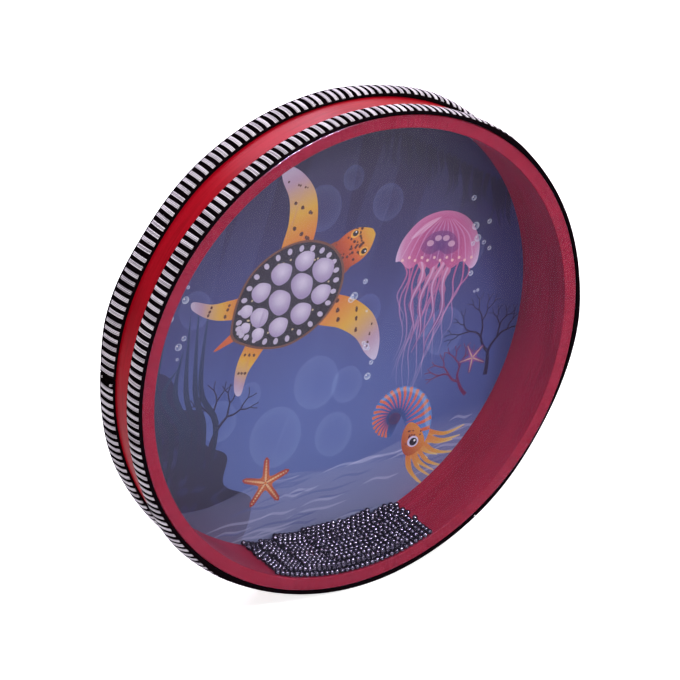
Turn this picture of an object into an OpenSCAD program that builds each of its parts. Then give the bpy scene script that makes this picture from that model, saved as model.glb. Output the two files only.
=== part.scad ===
// Ocean drum: a shallow hoop of bent plywood with a clear film head in front and a
// printed film head behind, two woven edge tapes and a heap of loose steel beads inside.
// The drum stands on its edge. Its axis lies along Y, the clear head faces -Y and +Z is up.

/* [Hoop] */
// Outside diameter of the bare hoop
hoop_d = 250; // [200:1:360]
// Depth of the hoop between its two cut edges
hoop_depth = 36.9; // [32:0.1:70]
// Thickness of the inner and of the outer ply
face_ply = 1.9; // [1.2:0.1:3]
// Thickness of the middle ply
core_ply = 3; // [1.5:0.1:5]
// Radius of the eased edges that the films bend over
edge_round = 0.6; // [0.3:0.1:1]
// Width of the glued butt joint in each ply
ply_seam = 0.2; // [0.1:0.05:0.5]
// Where the outer ply's joint is, in degrees from +X towards +Z
outer_seam_at = 322; // [0:1:359]
// Where the middle ply's joint is
core_seam_at = 68; // [0:1:359]
// Where the inner ply's joint is
inner_seam_at = 196; // [0:1:359]

/* [Heads] */
// Thickness of both film heads
film = 0.2; // [0.15:0.05:0.4]
// Length of film turned down over the outside of the hoop
skirt = 9.4; // [6:0.1:12]

/* [Edge tape] */
// Width of the woven tape
tape_w = 11.5; // [8:0.1:13]
// Thickness of the tape along its middle
tape_t = 2.3; // [1.6:0.05:2.6]
// Thickness of the tape at its edge on the bare band
tape_band_t = 0.9; // [0.7:0.05:1.3]
// Thickness of the tape at its edge beside the head, where it wraps over the film's bend
tape_head_t = 1.7; // [1:0.05:2]
// How far the tape stays behind the face of the head
tape_setback = 0.15; // [0:0.05:0.5]
// Distance from one white float to the next
float_pitch = 4.22; // [3.4:0.02:6]
// Width of a white float
float_w = 2.05; // [1.2:0.05:2.6]
// Black selvage between the floats and the tape's edge beside the head
head_selvage = 0.95; // [0.5:0.05:1.5]
// Black selvage between the floats and the tape's edge on the bare band
band_selvage = 0.55; // [0.4:0.05:1.5]
// Depth to which a white float lies in the black ground
float_t = 0.45; // [0.2:0.05:0.6]
// Gap between the two ends of the tape
tape_seam = 0.6; // [0.3:0.1:1.5]
// Where the front tape's ends meet, in degrees from +X towards +Z
front_seam_at = 301; // [0:0.5:359]
// Where the back tape's ends meet
back_seam_at = 174.5; // [0:0.5:359]

/* [Beads] */
// Diameter of a steel bead
bead_d = 2.9; // [2:0.1:2.9]
// Distance between neighbouring beads in a row, and between rows
bead_pitch = 3; // [3:0.1:4]
// Distance between two layers of beads
layer_step = 2.55; // [2.55:0.05:3.5]
// Running clearance round the beads
bead_clear = 0.3; // [0.25:0.05:0.6]
// Middle of the heap, in degrees from +X towards +Z
heap_at = 267; // [250:1:290]
// Half of the angle that the heap covers on the wall
heap_half = 21.3; // [12:0.1:30]
// Number of layers that stay on the wall
bed_layers = 2; // [1:1:3]
// Number of the row shuffle
shuffle = 11; // [1:1:99]

/* [Hidden] */

ring_fn = 180;
bead_fn = 16;
arc_steps = 4;
crown_steps = 4;
// how far a cutting solid runs past what it cuts
overrun = 0.5;

hoop_r = hoop_d / 2;
half_depth = hoop_depth / 2;
core_out_r = hoop_r - face_ply;
core_in_r = core_out_r - core_ply;
inner_r = core_in_r - face_ply;

tape_r = hoop_r + film;
tape_front = half_depth + film - tape_setback;
tape_mid = tape_front - tape_w / 2;
float_n = round(2 * PI * (tape_r + tape_t) / float_pitch);
float_head_share = 1 - 2 * head_selvage / tape_w;
float_band_share = 2 * band_selvage / tape_w - 1;
float_deg = degrees_of(float_w, tape_r + tape_t);

bed_r = inner_r - bead_clear - bead_d / 2;
// the heap's free surface is a chord, this far from the axis
chord_dist = bed_r * cos(heap_half);
// the loose layers lie a little higher, clear of the bed
wash_rise = bead_clear;
row_room = hoop_depth - 2 * bead_clear - bead_d;
heap_layers = ceil((bed_r - wash_rise - chord_dist) / layer_step);

// the angle that a length takes at a radius
function degrees_of(length, r) = length / r * 180 / PI;

// points of an arc round (x, y), from one angle to another
function arc(x, y, r, from, to) =
    [for (i = [0 : arc_steps]) let (a = from + (to - from) * i / arc_steps)
        [x + r * cos(a), y + r * sin(a)]];

// thickness of the tape at a share of its half width, from the band at -1 to the head at 1;
// it falls steeply to the band and gently to the head
function crown(share) = tape_t + (tape_head_t - tape_band_t) / 2 * pow(share, 3)
    - (tape_t - (tape_head_t + tape_band_t) / 2) * pow(share, 2);

// line across the tape's crown, so far below its surface
function crown_line(from, to, below) =
    [for (i = [0 : crown_steps]) let (share = from + (to - from) * i / crown_steps)
        [tape_r + crown(share) - below, tape_mid + share * tape_w / 2]];

// radius of a layer of beads, counted from the wall
function layer_r(layer) = bed_r - layer * layer_step - (layer < bed_layers ? 0 : wash_rise);

// half of the angle that a layer covers below the heap's free surface
function layer_half(layer) = acos(min(1, chord_dist / layer_r(layer)));

// turns what is drawn round Z so that Z points to the front of the drum
module on_axis() {
    rotate([90, 0, 0]) children();
}

// a strip bent round the axis, whose two ends meet at an angle
module bent_strip(gap, r, seam_at) {
    gap_deg = degrees_of(gap, r);
    rotate([0, 0, seam_at + gap_deg / 2])
        rotate_extrude(angle = 360 - gap_deg, $fn = ring_fn)
            children();
}

// section of the outer ply, its two outer edges eased for the films
module outer_ply_section() {
    polygon(concat(
        [[core_out_r, half_depth], [core_out_r, -half_depth]],
        arc(hoop_r - edge_round, edge_round - half_depth, edge_round, -90, 0),
        arc(hoop_r - edge_round, half_depth - edge_round, edge_round, 0, 90)
    ));
}

// section of the inner ply, its two inner edges eased
module inner_ply_section() {
    polygon(concat(
        [[core_in_r, -half_depth], [core_in_r, half_depth]],
        arc(inner_r + edge_round, half_depth - edge_round, edge_round, 90, 180),
        arc(inner_r + edge_round, edge_round - half_depth, edge_round, 180, 270)
    ));
}

module hoop_outer_ply() {
    color("firebrick")
        on_axis()
            bent_strip(ply_seam, hoop_r, outer_seam_at)
                outer_ply_section();
}

module hoop_core_ply() {
    color("brown")
        on_axis()
            bent_strip(ply_seam, core_out_r, core_seam_at)
                translate([core_in_r, -half_depth])
                    square([core_ply, hoop_depth]);
}

module hoop_inner_ply() {
    color("firebrick")
        on_axis()
            bent_strip(ply_seam, core_in_r, inner_seam_at)
                inner_ply_section();
}

// a film head: a flat disc whose rim bends over the hoop's edge into a skirt
module film_head() {
    bend_x = hoop_r - edge_round;
    bend_y = half_depth - edge_round;
    rotate_extrude($fn = ring_fn)
        polygon(concat(
            [[0, half_depth + film], [0, half_depth]],
            arc(bend_x, bend_y, edge_round, 90, 0),
            [[hoop_r, half_depth - skirt], [hoop_r + film, half_depth - skirt]],
            arc(bend_x, bend_y, edge_round + film, 0, 90)
        ));
}

module clear_head() {
    color([0.8, 0.82, 0.9, 0.3])
        on_axis()
            film_head();
}

module printed_head() {
    color("steelblue")
        on_axis()
            mirror([0, 0, 1])
                film_head();
}

// one white float, or with a lift the pocket that it lies in
module float_piece(lift) {
    rotate([0, 0, -float_deg / 2])
        rotate_extrude(angle = float_deg, $fn = ring_fn)
            polygon(concat(
                crown_line(float_band_share, float_head_share, float_t),
                crown_line(float_head_share, float_band_share, -lift)
            ));
}

// the floats' places, spaced evenly from one end of the tape to the other
module along_tape(seam_at) {
    for (i = [0 : float_n - 1])
        rotate([0, 0, seam_at + (i + 1 / 2) * 360 / float_n])
            children();
}

module tape_ground(seam_at) {
    difference() {
        bent_strip(tape_seam, tape_r, seam_at)
            polygon(concat(
                [[tape_r, tape_mid - tape_w / 2], [tape_r, tape_mid + tape_w / 2]],
                crown_line(1, -1, 0)
            ));
        along_tape(seam_at) float_piece(overrun);
    }
}

module front_tape_ground() {
    color([0.05, 0.05, 0.06])
        on_axis()
            tape_ground(front_seam_at);
}

module front_tape_floats() {
    color("gainsboro")
        on_axis()
            along_tape(front_seam_at) float_piece(0);
}

module back_tape_ground() {
    color([0.05, 0.05, 0.06])
        on_axis()
            mirror([0, 0, 1])
                tape_ground(back_seam_at);
}

module back_tape_floats() {
    color("gainsboro")
        on_axis()
            mirror([0, 0, 1])
                along_tape(back_seam_at) float_piece(0);
}

// one row of beads that lies along the wall, pushed round by a share of the pitch
module bead_row(layer, place, push) {
    r = layer_r(layer);
    step = degrees_of(bead_pitch, r);
    count = floor(2 * layer_half(layer) / step);
    for (i = [0 : count])
        rotate([0, 0, heap_at + (i - count / 2 + push) * step])
            translate([r, 0, place])
                sphere(d = bead_d, $fn = bead_fn);
}

// a layer of rows from head to head; every second layer lies over the gaps of the last
module bead_layer(layer) {
    odd = layer % 2;
    last = floor(row_room / bead_pitch) - odd;
    pushes = rands(-0.5, 0.5, last + 1, shuffle + layer);
    for (j = [0 : last])
        bead_row(layer, (j - last / 2) * bead_pitch, pushes[j]);
}

// the beads that stay on the wall
module bead_bed() {
    color("dimgray")
        on_axis()
            for (layer = [0 : bed_layers - 1])
                bead_layer(layer);
}

// the looser beads on top, which wash across between the heads
module bead_wash() {
    color("slategray")
        on_axis()
            for (layer = [bed_layers : heap_layers])
                bead_layer(layer);
}

hoop_outer_ply();
hoop_core_ply();
hoop_inner_ply();
clear_head();
printed_head();
front_tape_ground();
front_tape_floats();
back_tape_ground();
back_tape_floats();
bead_bed();
bead_wash();
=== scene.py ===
import math
import random

import bpy
import numpy as np
from mathutils import Matrix, Vector
from mathutils.geometry import delaunay_2d_cdt


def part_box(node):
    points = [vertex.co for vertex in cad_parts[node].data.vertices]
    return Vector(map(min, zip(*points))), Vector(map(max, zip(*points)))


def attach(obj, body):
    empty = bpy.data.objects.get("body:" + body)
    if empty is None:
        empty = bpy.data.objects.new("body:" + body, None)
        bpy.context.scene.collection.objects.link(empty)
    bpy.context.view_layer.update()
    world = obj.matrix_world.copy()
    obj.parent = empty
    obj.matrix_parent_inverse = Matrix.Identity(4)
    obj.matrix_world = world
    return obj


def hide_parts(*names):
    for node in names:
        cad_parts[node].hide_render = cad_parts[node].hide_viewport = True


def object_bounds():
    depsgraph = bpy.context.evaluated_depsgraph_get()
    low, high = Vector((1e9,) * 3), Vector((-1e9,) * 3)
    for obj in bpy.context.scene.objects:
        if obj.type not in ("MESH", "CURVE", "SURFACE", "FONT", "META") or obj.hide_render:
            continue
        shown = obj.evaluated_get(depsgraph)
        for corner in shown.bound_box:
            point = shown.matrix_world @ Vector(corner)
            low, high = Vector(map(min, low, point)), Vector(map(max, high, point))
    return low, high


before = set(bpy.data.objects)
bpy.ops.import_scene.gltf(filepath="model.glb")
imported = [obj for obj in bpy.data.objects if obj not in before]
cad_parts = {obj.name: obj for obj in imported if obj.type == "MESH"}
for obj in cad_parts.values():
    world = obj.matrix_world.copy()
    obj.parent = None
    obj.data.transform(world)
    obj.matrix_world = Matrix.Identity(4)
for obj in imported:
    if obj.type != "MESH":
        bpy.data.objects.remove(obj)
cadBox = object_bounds()
scene = bpy.context.scene
print("frame loaded")

# sizes that the pieces are built on, taken from the frame
tapeLow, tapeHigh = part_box("front_tape_ground")
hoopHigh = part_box("hoop_outer_ply")[1]
hoopR = hoopHigh.x
halfDepth = hoopHigh.y
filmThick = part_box("printed_head")[1].y - halfDepth
tapeInnerR = hoopR + filmThick
wallPoints = np.array([vert.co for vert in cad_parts["hoop_inner_ply"].data.vertices])
innerR = float(np.hypot(wallPoints[:, 0], wallPoints[:, 2]).min())
floorZ = cadBox[0].z

# camera, at the photograph's viewing angle
cameraSet = {
    "azimuth": -32.55,
    "elevation": 26.98,
    "distance": 1.6867,
    "focal": 3450.3,        # in pixels of the picture
    "side": 680,
    "drumAt": (346.37, 343.48),  # where the drum's middle is seen
    "sensor": 36.0,
    "nearest": 0.05,        # nothing nearer than this is seen
}


def placeCamera():
    azimuth = math.radians(cameraSet["azimuth"])
    elevation = math.radians(cameraSet["elevation"])
    back = Vector((math.sin(azimuth) * math.cos(elevation),
                   -math.cos(azimuth) * math.cos(elevation),
                   math.sin(elevation)))
    right = Vector((0, 0, 1)).cross(back).normalized()
    up = back.cross(right)
    perPixel = cameraSet["distance"] / cameraSet["focal"]
    middle = cameraSet["side"] / 2
    aim = right * (middle - cameraSet["drumAt"][0]) * perPixel
    aim += up * (cameraSet["drumAt"][1] - middle) * perPixel
    place = back * cameraSet["distance"]
    bpy.ops.object.camera_add(location=place)
    camera = bpy.context.object
    camera.name = "photoCamera"
    camera.rotation_euler = (aim - place).to_track_quat("-Z", "Y").to_euler()
    camera.data.sensor_width = cameraSet["sensor"]
    camera.data.lens = cameraSet["focal"] / cameraSet["side"] * cameraSet["sensor"]
    camera.data.clip_start = cameraSet["nearest"]
    scene.camera = camera


placeCamera()
print("camera placed")


# small helpers for materials
def newMaterial(name):
    mat = bpy.data.materials.new(name)
    mat.use_nodes = True
    return mat, mat.node_tree, mat.node_tree.nodes["Principled BSDF"]


# an input takes a value, or a link where the value is another node's output
def setInputs(tree, node, inputs):
    for key, value in inputs.items():
        if isinstance(value, bpy.types.NodeSocket):
            tree.links.new(value, node.inputs[key])
        else:
            node.inputs[key].default_value = value


def addNode(tree, kind, inputs=None, **settings):
    node = tree.nodes.new(kind)
    for key, value in settings.items():
        setattr(node, key, value)
    setInputs(tree, node, inputs or {})
    return node


def mathNode(tree, operation, a, b=0.0, c=0.0):
    return addNode(tree, "ShaderNodeMath", {0: a, 1: b, 2: c}, operation=operation).outputs[0]


def vectorNode(tree, operation, inputs, output="Vector"):
    return addNode(tree, "ShaderNodeVectorMath", inputs, operation=operation).outputs[output]


def weigh(tree, one, other, shares):    # a sum in which each value has its share
    rest = mathNode(tree, "MULTIPLY", other, shares[1])
    return mathNode(tree, "MULTIPLY_ADD", one, shares[0], rest)


def placeNode(tree):
    return addNode(tree, "ShaderNodeTexCoord").outputs["Object"]


def splitNode(tree):
    return addNode(tree, "ShaderNodeSeparateXYZ", {0: placeNode(tree)}).outputs


def noiseNode(tree, scale, detail, roughness=0.5):
    inputs = {"Vector": placeNode(tree), "Scale": scale, "Detail": detail, "Roughness": roughness}
    return addNode(tree, "ShaderNodeTexNoise", inputs).outputs["Fac"]


def rangeNode(tree, value, low, high, start=0.0, end=1.0):
    inputs = {"Value": value, "From Min": start, "From Max": end, "To Min": low, "To Max": high}
    return addNode(tree, "ShaderNodeMapRange", inputs).outputs["Result"]


def rampNode(tree, fac, places, colours):
    ramp = addNode(tree, "ShaderNodeValToRGB", {"Fac": fac})
    for element, place, colour in zip(ramp.color_ramp.elements, places, colours):
        element.position = place
        element.color = (*colour, 1)
    return ramp.outputs["Color"]


def attributeNode(tree, name, output="Fac"):
    return addNode(tree, "ShaderNodeAttribute", attribute_name=name).outputs[output]


def bumpNode(tree, height, strength, distance):
    inputs = {"Height": height, "Strength": strength, "Distance": distance}
    return addNode(tree, "ShaderNodeBump", inputs).outputs[0]


# coordinates that run round the drum: a unit direction, the depth and the radius
def roundCoords(tree, along, across):
    place = splitNode(tree)
    level = addNode(tree, "ShaderNodeCombineXYZ", {"X": place["X"], "Z": place["Z"]}).outputs[0]
    radius = vectorNode(tree, "LENGTH", {0: level}, "Value")
    unit = vectorNode(tree, "NORMALIZE", {0: level})
    spread = vectorNode(tree, "SCALE", {0: unit, "Scale": along})
    deep = mathNode(tree, "MULTIPLY", place["Y"], across)
    lift = addNode(tree, "ShaderNodeCombineXYZ", {"Y": deep}).outputs[0]
    vector = vectorNode(tree, "ADD", {0: spread, 1: lift})
    return vector, mathNode(tree, "MULTIPLY", radius, across)


def deselectAll():
    if bpy.context.object and bpy.context.object.mode != "OBJECT":
        bpy.ops.object.mode_set(mode="OBJECT")
    bpy.ops.object.select_all(action="DESELECT")


def pick(*objs):
    deselectAll()
    for obj in objs:
        obj.select_set(True)
    bpy.context.view_layer.objects.active = objs[0]


def giveMaterial(obj, mat):
    obj.data.materials.clear()
    obj.data.materials.append(mat)


# the hoop: red lacquer over bent plywood; the grain runs round it and the cut edges took more stain
hoopLook = {
    "outside": ((0.20, 0.0008, 0.005), (0.34, 0.002, 0.010)),   # dark and pale
    "inside": ((0.20, 0.007, 0.02), (0.32, 0.014, 0.038)),
    "edge": ((0.205, 0.006, 0.017), (0.35, 0.02, 0.045)),
    "edgeDeep": 0.0005,     # how far the cut edge's colour reaches in
    "roughness": (0.24, 0.36),
    "specular": 0.027,
    "sheenTint": (0.82, 0.76, 1.0),
    # noises, by how often they change round the hoop and per metre across
    "streaks": {"along": 5.0, "across": 900.0, "Detail": 5.0, "Roughness": 0.62},
    "clouds": {"along": 3.0, "across": 70.0, "Detail": 3.0},
    "saw": {"along": 95.0, "across": 160.0, "Detail": 3.0, "Roughness": 0.6},   # marks on a cut edge
    "faceMix": (0.6, 0.4),  # shares of the streaks and the clouds
    "faceStops": (0.36, 0.6),   # where the dark ends and the pale begins
    "edgeMix": (0.35, 0.65),    # shares of the streaks and the saw marks
    "edgeStops": (0.34, 0.66),
    "bump": (0.12, 0.0003),     # strength and height
}


# a noise whose features stretch round the drum
def roundNoise(tree, along, across, **settings):
    vector, radius = roundCoords(tree, along, across)
    inputs = {"Vector": vector, "W": radius, "Scale": 1.0, **settings}
    return addNode(tree, "ShaderNodeTexNoise", inputs, noise_dimensions="4D").outputs["Fac"]


def lacquerMaterial(name, face):
    look = hoopLook
    mat, tree, shader = newMaterial(name)
    streaks, clouds, saw = (roundNoise(tree, **look[noise]) for noise in ("streaks", "clouds", "saw"))
    grain = weigh(tree, streaks, clouds, look["faceMix"])
    marks = weigh(tree, streaks, saw, look["edgeMix"])
    faceColour = rampNode(tree, grain, look["faceStops"], look[face])
    edgeColour = rampNode(tree, marks, look["edgeStops"], look["edge"])
    depth = mathNode(tree, "ABSOLUTE", splitNode(tree)["Y"])
    onEdge = rangeNode(tree, depth, 0.0, 1.0, halfDepth - look["edgeDeep"], halfDepth)
    colours = {"Factor": onEdge, "A": faceColour, "B": edgeColour}
    setInputs(tree, shader, {
        "Base Color": addNode(tree, "ShaderNodeMix", colours, data_type="RGBA").outputs["Result"],
        "Roughness": rangeNode(tree, streaks, *look["roughness"]),
        "Normal": bumpNode(tree, streaks, *look["bump"]),
        "Specular IOR Level": look["specular"],
        "Specular Tint": (*look["sheenTint"], 1),
    })
    return mat


giveMaterial(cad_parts["hoop_outer_ply"], lacquerMaterial("redLacquer", "outside"))
giveMaterial(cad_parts["hoop_core_ply"], lacquerMaterial("redLacquerCore", "edge"))
giveMaterial(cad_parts["hoop_inner_ply"], lacquerMaterial("redLacquerInside", "inside"))
print("hoop finished")

# the clear head: thin film that mirrors a little and has a faint milky haze
filmLook = {
    "facing": 0.003,        # what the film mirrors, seen straight on
    "grazing": 0.45,        # and how much more of it seen along the film
    "turn": 5.0,            # how late the one goes over into the other
    "haze": 0.018,          # what it scatters, wherever it is seen from
    "hazeClouds": (18.0, 2.0),  # per metre, and their detail
    "bendGloss": 0.02,      # more mirror where it is stretched over the hoop's edge
    "bend": (0.0006, 0.0003),   # where that begins and is full, in from the hoop's outside
    "tint": (0.985, 0.98, 0.99),
    "colour": (0.66, 0.58, 1.0),
    "roughness": 0.07,
    "seat": 0.00002,        # between the film's face and the wood
    "merge": 0.000001,      # corners nearer than this are one
}


def clearFilmMaterial():
    look = filmLook
    mat, tree, shader = newMaterial("clearFilm")
    through = addNode(tree, "ShaderNodeBsdfTransparent", {"Color": (*look["tint"], 1)})
    inside = addNode(tree, "ShaderNodeNewGeometry").outputs["Backfacing"]
    outer = mathNode(tree, "SUBTRACT", 1.0, inside)
    facing = addNode(tree, "ShaderNodeLayerWeight").outputs["Facing"]
    along = mathNode(tree, "POWER", facing, look["turn"])
    mirror = mathNode(tree, "MULTIPLY_ADD", along, look["grazing"], look["facing"])
    start, end = (hoopR - away for away in look["bend"])
    bend = rangeNode(tree, roundCoords(tree, 1.0, 1.0)[1], 0.0, look["bendGloss"], start, end)
    mirror = mathNode(tree, "ADD", mirror, bend)
    cloud = noiseNode(tree, *look["hazeClouds"])
    haze = mathNode(tree, "MULTIPLY_ADD", cloud, look["haze"], look["haze"] / 2)
    both = mathNode(tree, "ADD", mirror, haze)
    setInputs(tree, shader, {
        "Metallic": mathNode(tree, "DIVIDE", mirror, both),
        "Base Color": (*look["colour"], 1),
        "Roughness": look["roughness"],
        "Specular IOR Level": 0.0,
    })
    share = mathNode(tree, "MULTIPLY", both, outer)     # each crossing of the film counts once
    mix = addNode(tree, "ShaderNodeMixShader", {0: share, 1: through.outputs[0], 2: shader.outputs[0]})
    tree.links.new(mix.outputs[0], tree.nodes["Material Output"].inputs["Surface"])
    return mat


# a merged copy of the node, whose face lies clear of the wood
def buildClearFilm():
    pick(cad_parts["clear_head"])
    bpy.ops.object.duplicate()
    film = bpy.context.object
    film.name = "clearFilm"
    shading = [tuple(corner.vector) for corner in film.data.corner_normals]
    bpy.ops.object.mode_set(mode="EDIT")
    bpy.ops.mesh.select_all(action="SELECT")
    bpy.ops.mesh.remove_doubles(threshold=filmLook["merge"])
    bpy.ops.object.mode_set(mode="OBJECT")
    for vert in film.data.vertices:
        if abs(vert.co.y + halfDepth) < filmLook["seat"]:
            vert.co.y = -halfDepth - filmLook["seat"]
    film.data.normals_split_custom_set(shading)     # merging changes how the bend shines
    giveMaterial(film, clearFilmMaterial())
    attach(film, "drum")
    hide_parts("clear_head")


buildClearFilm()
print("clear head finished")

# the printed head's film, pale behind the print
backFilmLook = {
    "colours": ((0.36, 0.385, 0.48), (0.3888, 0.4158, 0.5184)),     # dark and pale
    "clouds": (22.0, 3.0),  # per metre, and their detail
    "stops": (0.3, 0.7),
    "roughness": 0.28,
    "coat": (0.3, 0.12),    # weight and roughness
}


def backFilmMaterial():
    look = backFilmLook
    mat, tree, shader = newMaterial("printedFilm")
    cloud = noiseNode(tree, *look["clouds"])
    setInputs(tree, shader, {
        "Base Color": rampNode(tree, cloud, look["stops"], look["colours"]),
        "Roughness": look["roughness"],
        "Coat Weight": look["coat"][0],
        "Coat Roughness": look["coat"][1],
    })
    return mat


giveMaterial(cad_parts["printed_head"], backFilmMaterial())
print("printed head's film finished")

# one mesh that holds a copy of the original at each place
def spreadCopies(original, places, name, tones=None):
    copies = []
    for number, place in enumerate(places):
        copy = original.copy()
        copy.data = original.data.copy()
        copy.data.transform(place)
        if tones is not None:
            tone = [tones[number]] * len(copy.data.vertices)
            copy.data.attributes["tone"].data.foreach_set("value", tone)
        scene.collection.objects.link(copy)
        copies.append(copy)
    pick(*copies)
    bpy.ops.object.join()
    joined = bpy.context.object
    joined.name = name
    return joined


def addAttribute(obj, name, values):
    attribute = obj.data.attributes.new(name, "FLOAT", "POINT")
    attribute.data.foreach_set("value", values)


def turnRound(degrees):     # turns what stands at +X to an angle from +X towards +Z
    return Matrix.Rotation(-math.radians(degrees), 4, "Y")


# the woven edge tapes: a black ground with rolled edges, and threads that lie across it
tapeSet = {
    "proud": 0.00065,       # how far the head side stands out over the film's bend
    "seamAt": {"front": 301.0, "back": 174.5},  # degrees from +X towards +Z
    "count": 190,           # white floats round one tape
    "bandThick": 0.0009,    # at the edge beside the bare band
    "midThick": 0.0023,
    "headThick": 0.0017,    # at the edge by the head
    "groundSink": 0.00042,  # the ground under the threads
    "groundInset": 0.0004,
    "groundSides": 20,
    "groundSquare": 1.12,   # how far its section goes from round towards square
    "glueLine": 0.0001,
    "cordR": 0.00052,
    "cordSides": 10,
    "gapDegrees": 0.27,     # between the tape's two ends
    "steps": 360,
    "creaseAt": 50,         # degrees over which an edge stays sharp
    "crownPower": 2.6,
    "threadR": 0.0003,
    "threadSides": 6,
    "rings": (-0.94, -0.7, -0.35, 0.1, 0.6, 0.93),  # shares of a thread's half length
    "endDip": (0.00014, 0.00066),   # how far its last ring and its end dive
    "shift": 0.00016,       # threads' middle, from the tape's middle towards the band
    "tones": (0.2, 0.8),    # how dark and how pale a bundle can be
    "white": {"length": 0.0107, "threads": 3, "step": 0.00071, "rise": 0.00006},
    "black": {"length": 0.0114, "threads": 3, "step": 0.0007, "rise": -0.00003},
    # how each tape was laid by hand: middle and spread in degrees, how far its band side
    # and its head side stand off the hoop, and how far it was pushed over the head's edge
    "lay": {
        "front": ((155, 30, 0.0008, 0, 0), (186, 16, 0.0006, 0, 0), (196, 12, 0.0004, 0, 0),
                  (218, 15, 0.0036, 0, 0), (232, 10, 0, 0.0005, 0), (50, 10, 0.0009, 0.0009, 0),
                  (-6, 9, 0.0004, 0.0008, 0), (-34, 14, 0, -0.0004, -0.0009), (-88, 14, 0, 0.0003, 0),
                  (228, 6, 0, 0.0008, 0)),
        "back": ((106, 11, 0, 0, 0.0012), (126, 12, 0, 0, 0.00125), (120, 20, 0.0005, 0, 0),
                 (156.5, 9.5, 0.0004, 0.0018, 0), (68, 12, 0.001, 0, 0), (196, 9, 0, 0.0005, 0),
                 (60.5, 10.5, 0, 0.00125, 0), (91, 7, 0, 0.0005, 0), (165, 6, 0, 0.0008, 0)),
    },
    "wobble": {"along": 0.1, "twist": 1.3, "rise": 0.00003},
    "merge": 0.000002,      # corners nearer than this are one
    "seed": 21,
}
tapeWide = tapeHigh.y - tapeLow.y + tapeSet["proud"]
tapeMid = (tapeHigh.y + tapeLow.y - tapeSet["proud"]) / 2


def tapeCrown(share):       # thickness from the band side at -1 to the head side at 1
    edge = tapeSet["headThick"] if share > 0 else tapeSet["bandThick"]
    return tapeSet["midThick"] - (tapeSet["midThick"] - edge) * abs(share) ** tapeSet["crownPower"]


def tapeLay(end, degrees):  # the two sides' lifts and the push at one place
    lay = np.zeros(3)
    for middle, spread, *sizes in tapeSet["lay"][end]:
        away = (degrees - middle + 180) % 360 - 180
        lay += np.array(sizes) * math.exp(-(away / spread) ** 2)
    return lay


# a bundle of threads across the tape, at +X, bent over the tape's crown with its head side towards -Y
def threadBundle(name, kind):
    facts = tapeSet[kind]
    half = facts["length"] / 2
    deselectAll()
    bpy.ops.mesh.primitive_cylinder_add(vertices=tapeSet["threadSides"], radius=tapeSet["threadR"],
                                        depth=facts["length"], rotation=(math.pi / 2, 0, 0))
    thread = bpy.context.object
    bpy.ops.object.transform_apply(rotation=True)
    bpy.ops.object.mode_set(mode="EDIT")
    for share in tapeSet["rings"]:
        bpy.ops.mesh.select_all(action="SELECT")
        bpy.ops.mesh.bisect(plane_co=(0, share * half, 0), plane_no=(0, 1, 0))
    bpy.ops.object.mode_set(mode="OBJECT")
    dipAt = (*tapeSet["rings"][-2:], 1.0)
    for vert in thread.data.vertices:
        dip = np.interp(abs(vert.co.y) / half, dipAt, (0.0, *tapeSet["endDip"]))
        vert.co.y += tapeSet["shift"]
        high = tapeInnerR + tapeCrown(-vert.co.y * 2 / tapeWide) - tapeSet["threadR"]
        vert.co.x += high + facts["rise"] - dip
    spread = (facts["threads"] - 1) / 2
    places = [Matrix.Translation((0, 0, (i - spread) * facts["step"])) for i in range(facts["threads"])]
    bundle = spreadCopies(thread, places, name)
    bpy.data.objects.remove(thread)
    addAttribute(bundle, "across", [v.co.z for v in bundle.data.vertices])
    addAttribute(bundle, "tone", [0.5] * len(bundle.data.vertices))
    pick(bundle)
    bpy.ops.object.shade_smooth()
    return bundle


# the back tape is the front one turned over, so that its head side is at the back
def tapePlace(side):
    turn = Matrix.Rotation(0 if side == 1 else math.pi, 4, "X")
    return Matrix.Translation((0, side * tapeMid, 0)) @ turn


# places of one bundle each, evenly round the tape with a weaver's small errors
def bundlePlaces(end, offset, rng, side):
    wobble = tapeSet["wobble"]
    hinge = Matrix.Translation((tapeInnerR, -tapeWide / 2, 0))
    places = []
    for i in range(1, tapeSet["count"]):
        angle = tapeSet["seamAt"][end] + (i + offset) * 360 / tapeSet["count"]
        angle += rng.uniform(-1, 1) * wobble["along"]
        twist = Matrix.Rotation(math.radians(rng.gauss(0, wobble["twist"])), 4, "X")
        rise = Matrix.Translation((rng.uniform(-1, 1) * wobble["rise"], 0, 0))
        band, head, push = tapeLay(end, angle)
        tilt = hinge @ Matrix.Rotation((head - band) / tapeWide, 4, "Z") @ hinge.inverted()
        lay = Matrix.Translation((head, -push, 0)) @ tilt
        places.append(turnRound(angle) @ tapePlace(side) @ lay @ rise @ twist)
    return places


# a section that stands at +X is swept round the drum's axis
def sweepRound(angle, startAt, steps):
    bpy.ops.mesh.select_all(action="SELECT")
    bpy.ops.mesh.spin(steps=steps, angle=math.radians(angle), center=(0, 0, 0), axis=(0, -1, 0))
    bpy.ops.mesh.select_all(action="SELECT")
    bpy.ops.mesh.remove_doubles(threshold=tapeSet["merge"])
    bpy.ops.mesh.normals_make_consistent(inside=False)
    bpy.ops.object.mode_set(mode="OBJECT")
    bpy.context.object.data.transform(turnRound(startAt))


def addDisc(sides):
    bpy.ops.mesh.primitive_circle_add(vertices=sides, radius=1, fill_type="NGON")
    return bpy.context.object


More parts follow.
